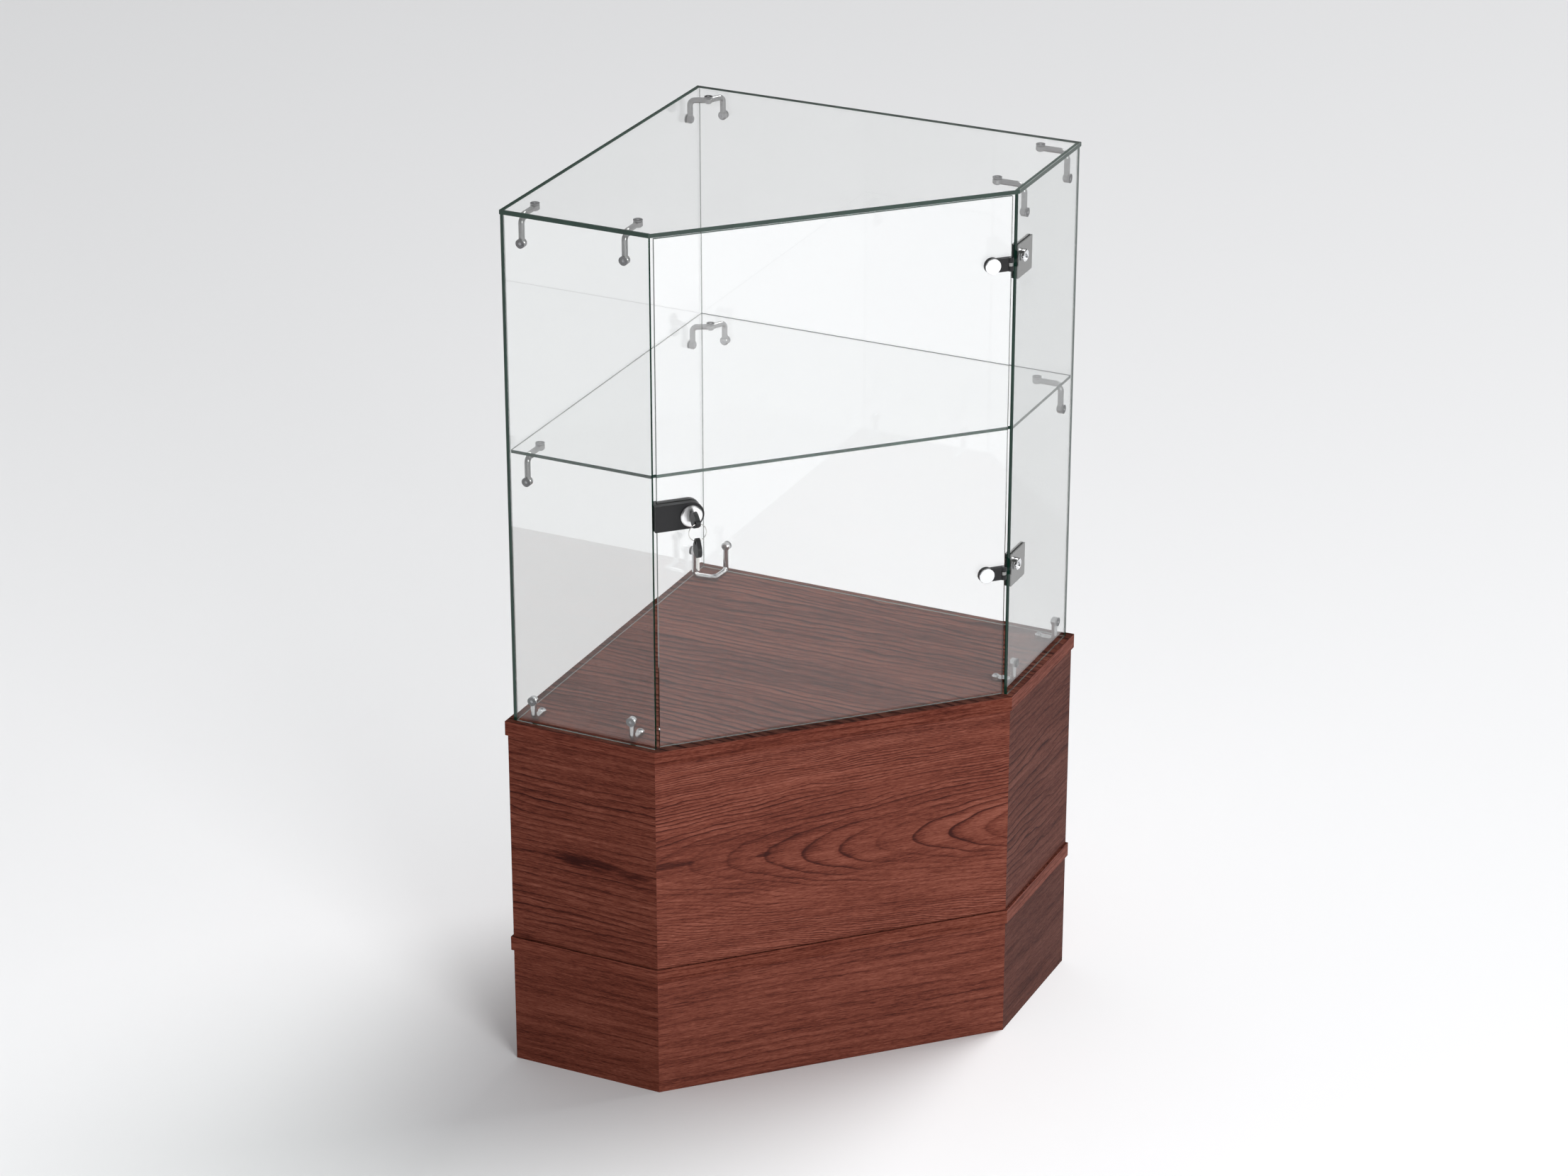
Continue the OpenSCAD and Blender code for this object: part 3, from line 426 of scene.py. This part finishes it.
# ---------------------------------------------------------------- metal and plastic
def metal(name, colour, rough, brushed=None, scratch=0.04):
    """Metal whose roughness and height vary: brushed along an axis, or turned."""
    t = material_tree(name)
    p = t.coord("Object")
    if brushed:
        along, across = scaled(brushed, 60), (0, 0, 2500)
        grain = t.noise(t.vec(t.dot(p, along), t.dot(p, across), 0.0), 1.0, 2.0, 0.6)
    else:
        grain = t.noise(p, 900.0, 2.0, 0.6)
    cloud = t.noise(p, 40.0, 2.0, 0.5)
    r = t.add(rough, t.mul(t.sub(grain, 0.5), 2 * scratch))
    r = t.add(r, t.mul(t.sub(cloud, 0.5), scratch))
    bright = tuple(min(1.0, c) for c in scaled(colour, 1.08))
    t.surface(Base_Color=t.mix(grain, scaled(colour, 0.9), bright), Metallic=1.0, Roughness=r,
              Normal=t.bump(grain, 0.05, 0.0002))
    return t.owner


def coat(name, colour, rough, scale=1800.0):
    """Paint, moulded plastic or rubber with a fine skin and some wear."""
    t = material_tree(name)
    p = t.coord("Object")
    skin = t.noise(p, scale, 2.0, 0.6)
    wear = t.noise(p, 55.0, 3.0, 0.5)
    t.surface(Base_Color=t.mix(wear, scaled(colour, 0.8), scaled(colour, 1.3)),
              Roughness=t.add(rough, t.mul(t.sub(wear, 0.5), 0.12)),
              Normal=t.bump(skin, 0.12, 0.0003), Specular_IOR_Level=0.3)
    return t.owner


def dress_hardware():
    dress(metal("rod_satin_chrome", (0.25, 0.25, 0.25), 0.16),
          "top_left_connectors", "top_right_connectors", "top_back_connector",
          "shelf_left_connector", "shelf_right_connector", "shelf_back_connector")
    dress(metal("base_rod_chrome", (0.55, 0.55, 0.55), 0.10),
          "base_left_connectors", "base_right_connectors", "base_back_connector")
    dress(metal("pad_steel", (0.20, 0.20, 0.205), 0.3), "connector_pads")
    dress(metal("screw_zinc", (0.36, 0.36, 0.37), 0.26),
          "connector_screws", "connector_wood_screws", "hinge_pins", "hinge_clamp_screws",
          "lock_screws", "lock_bolt")
    dress(metal("plate_brushed", (0.30, 0.30, 0.295), 0.30, brushed=ALONG_RIGHT, scratch=0.08),
          "upper_hinge_outer_plate", "upper_hinge_inner_plate",
          "lower_hinge_outer_plate", "lower_hinge_inner_plate")
    dress(metal("chrome_polished", (0.86, 0.87, 0.88), 0.07, scratch=0.02),
          "hinge_bolts", "hinge_caps", "hinge_clamp_discs")
    dress(metal("lock_nickel", (0.93, 0.93, 0.94), 0.30, scratch=0.05), "lock_cylinder", "lock_plug")
    dress(metal("key_nickel", (0.68, 0.67, 0.64), 0.2), "key_ring", "key_blade", "spare_key_blade")
    dress(coat("black_satin", (0.012, 0.012, 0.013), 0.38),
          "upper_hinge_arm", "lower_hinge_arm", "lock_housing", "lock_cover")
    dress(coat("key_moulded", (0.014, 0.014, 0.015), 0.42, scale=900.0), "key_head", "spare_key_head")
    dress(coat("gasket_rubber", (0.02, 0.02, 0.021), 0.7), "hinge_gaskets")


# ---------------------------------------------------------------- studio
FLOOR_HALF = 40.0                    # metres
FLOOR_AXIS = (-0.512, 1.244, 0)      # the way in which the painted light on the floor fades to darker
FLOOR_START, FLOOR_LENGTH = 2.0, 10.0
FLOOR_SHADES = [(0.0, 0.94), (0.2, 0.92), (0.5, 0.82), (1.0, 0.67)]
FLOOR_TINT = (0.992, 0.992, 1.0)
FLOOR_THROUGH_GLASS = 0.75           # how far painted light turns the floor white behind glass

WORLD_STRENGTH = 0.46
WORLD_SEEN = (0.74, 0.74, 0.75)
WORLD_TINT = (0.975, 0.985, 1.0)
# From the left side of the room to the right
ROOM_LEVELS = ((0.0, 0.22), (0.36, 0.92), (0.66, 1.0), (1.0, 0.55))
SOFT_BOXES = ((0.0, 0.10), (0.16, 0.12), (0.24, 1.0), (0.36, 1.0), (0.44, 0.16), (0.62, 0.22),
              (0.70, 1.1), (0.84, 1.1), (0.92, 0.15))

KEY_POWER = 2.1
KEY_ANGLE = 31                       # degrees
KEY_DIRECTION = Vector((-0.93, -0.37, -1.40))
FRONT_POWER = 95                     # watts
FRONT_SIZE = 1.6                     # metres
FRONT_PLACE = Vector((0.3, -4.6, 1.9))
FRONT_TARGET = Vector((0, 0, 0.4))


def make_floor():
    s = FLOOR_HALF
    mesh = bpy.data.meshes.new("floor")
    mesh.from_pydata([(-s, -s, 0), (s, -s, 0), (s, s, 0), (-s, s, 0)], [], [(0, 1, 2, 3)])
    floor = add_object("floor", mesh)
    t = material_tree("studio_floor")
    # Painted light: paler towards the front right, as a backdrop that is lit from there
    q = t.dot(t.coord("Object"), FLOOR_AXIS)
    shade = t.ramp(t.div(t.add(q, FLOOR_START), FLOOR_LENGTH), FLOOR_SHADES)
    # Painted light: behind the glass the backdrop shows a little whiter
    through = t.mul(t.ray("Is Transmission Ray"), FLOOR_THROUGH_GLASS)
    shade = t.mix(through, shade, (1.0, 1.0, 1.0))
    t.surface(Base_Color=t.mix(1.0, shade, FLOOR_TINT, "MULTIPLY"), Roughness=0.85, Specular_IOR_Level=0.2)
    mesh.materials.append(t.owner)


def make_world():
    world = bpy.data.worlds.new("studio")
    bpy.context.scene.world = world
    t = Tree(world, "ShaderNodeOutputWorld")
    across = t.math("MULTIPLY_ADD", t.dot(t.coord("Generated"), (1, 0, 0)), 0.5, 0.5)
    # The sides of the room are darker than its middle, the left side most
    room = t.ramp(across, [(pos, scaled(WORLD_TINT, level)) for pos, level in ROOM_LEVELS])
    # Metal shows soft boxes and the dark gaps between them
    boxes = t.ramp(across, SOFT_BOXES)
    lit = t.node("ShaderNodeBackground", Strength=WORLD_STRENGTH,
                 Color=t.mix(t.ray("Is Glossy Ray"), room, boxes))
    # The camera, also through glass, sees a plain pale backdrop
    backdrop = t.node("ShaderNodeBackground", Strength=1.0, Color=WORLD_SEEN)
    seen = t.math("MAXIMUM", t.ray("Is Camera Ray"), t.ray("Is Transmission Ray"))
    t.finish(t.mix_shaders(seen, lit, backdrop))


def make_lamps():
    data = bpy.data.lights.new("key", "SUN")
    data.energy = KEY_POWER
    data.angle = math.radians(KEY_ANGLE)
    aim(add_object("key", data), KEY_DIRECTION)
    data = bpy.data.lights.new("front", "AREA")
    data.shape = "RECTANGLE"
    data.size = data.size_y = FRONT_SIZE
    data.energy = FRONT_POWER
    front = add_object("front", data)
    front.location = FRONT_PLACE
    aim(front, FRONT_TARGET - FRONT_PLACE)


make_camera()
make_floor()
make_world()
make_lamps()
dress_wood()
dress_glass()
dress_hardware()

scene = bpy.context.scene
scene.view_settings.view_transform = "Standard"
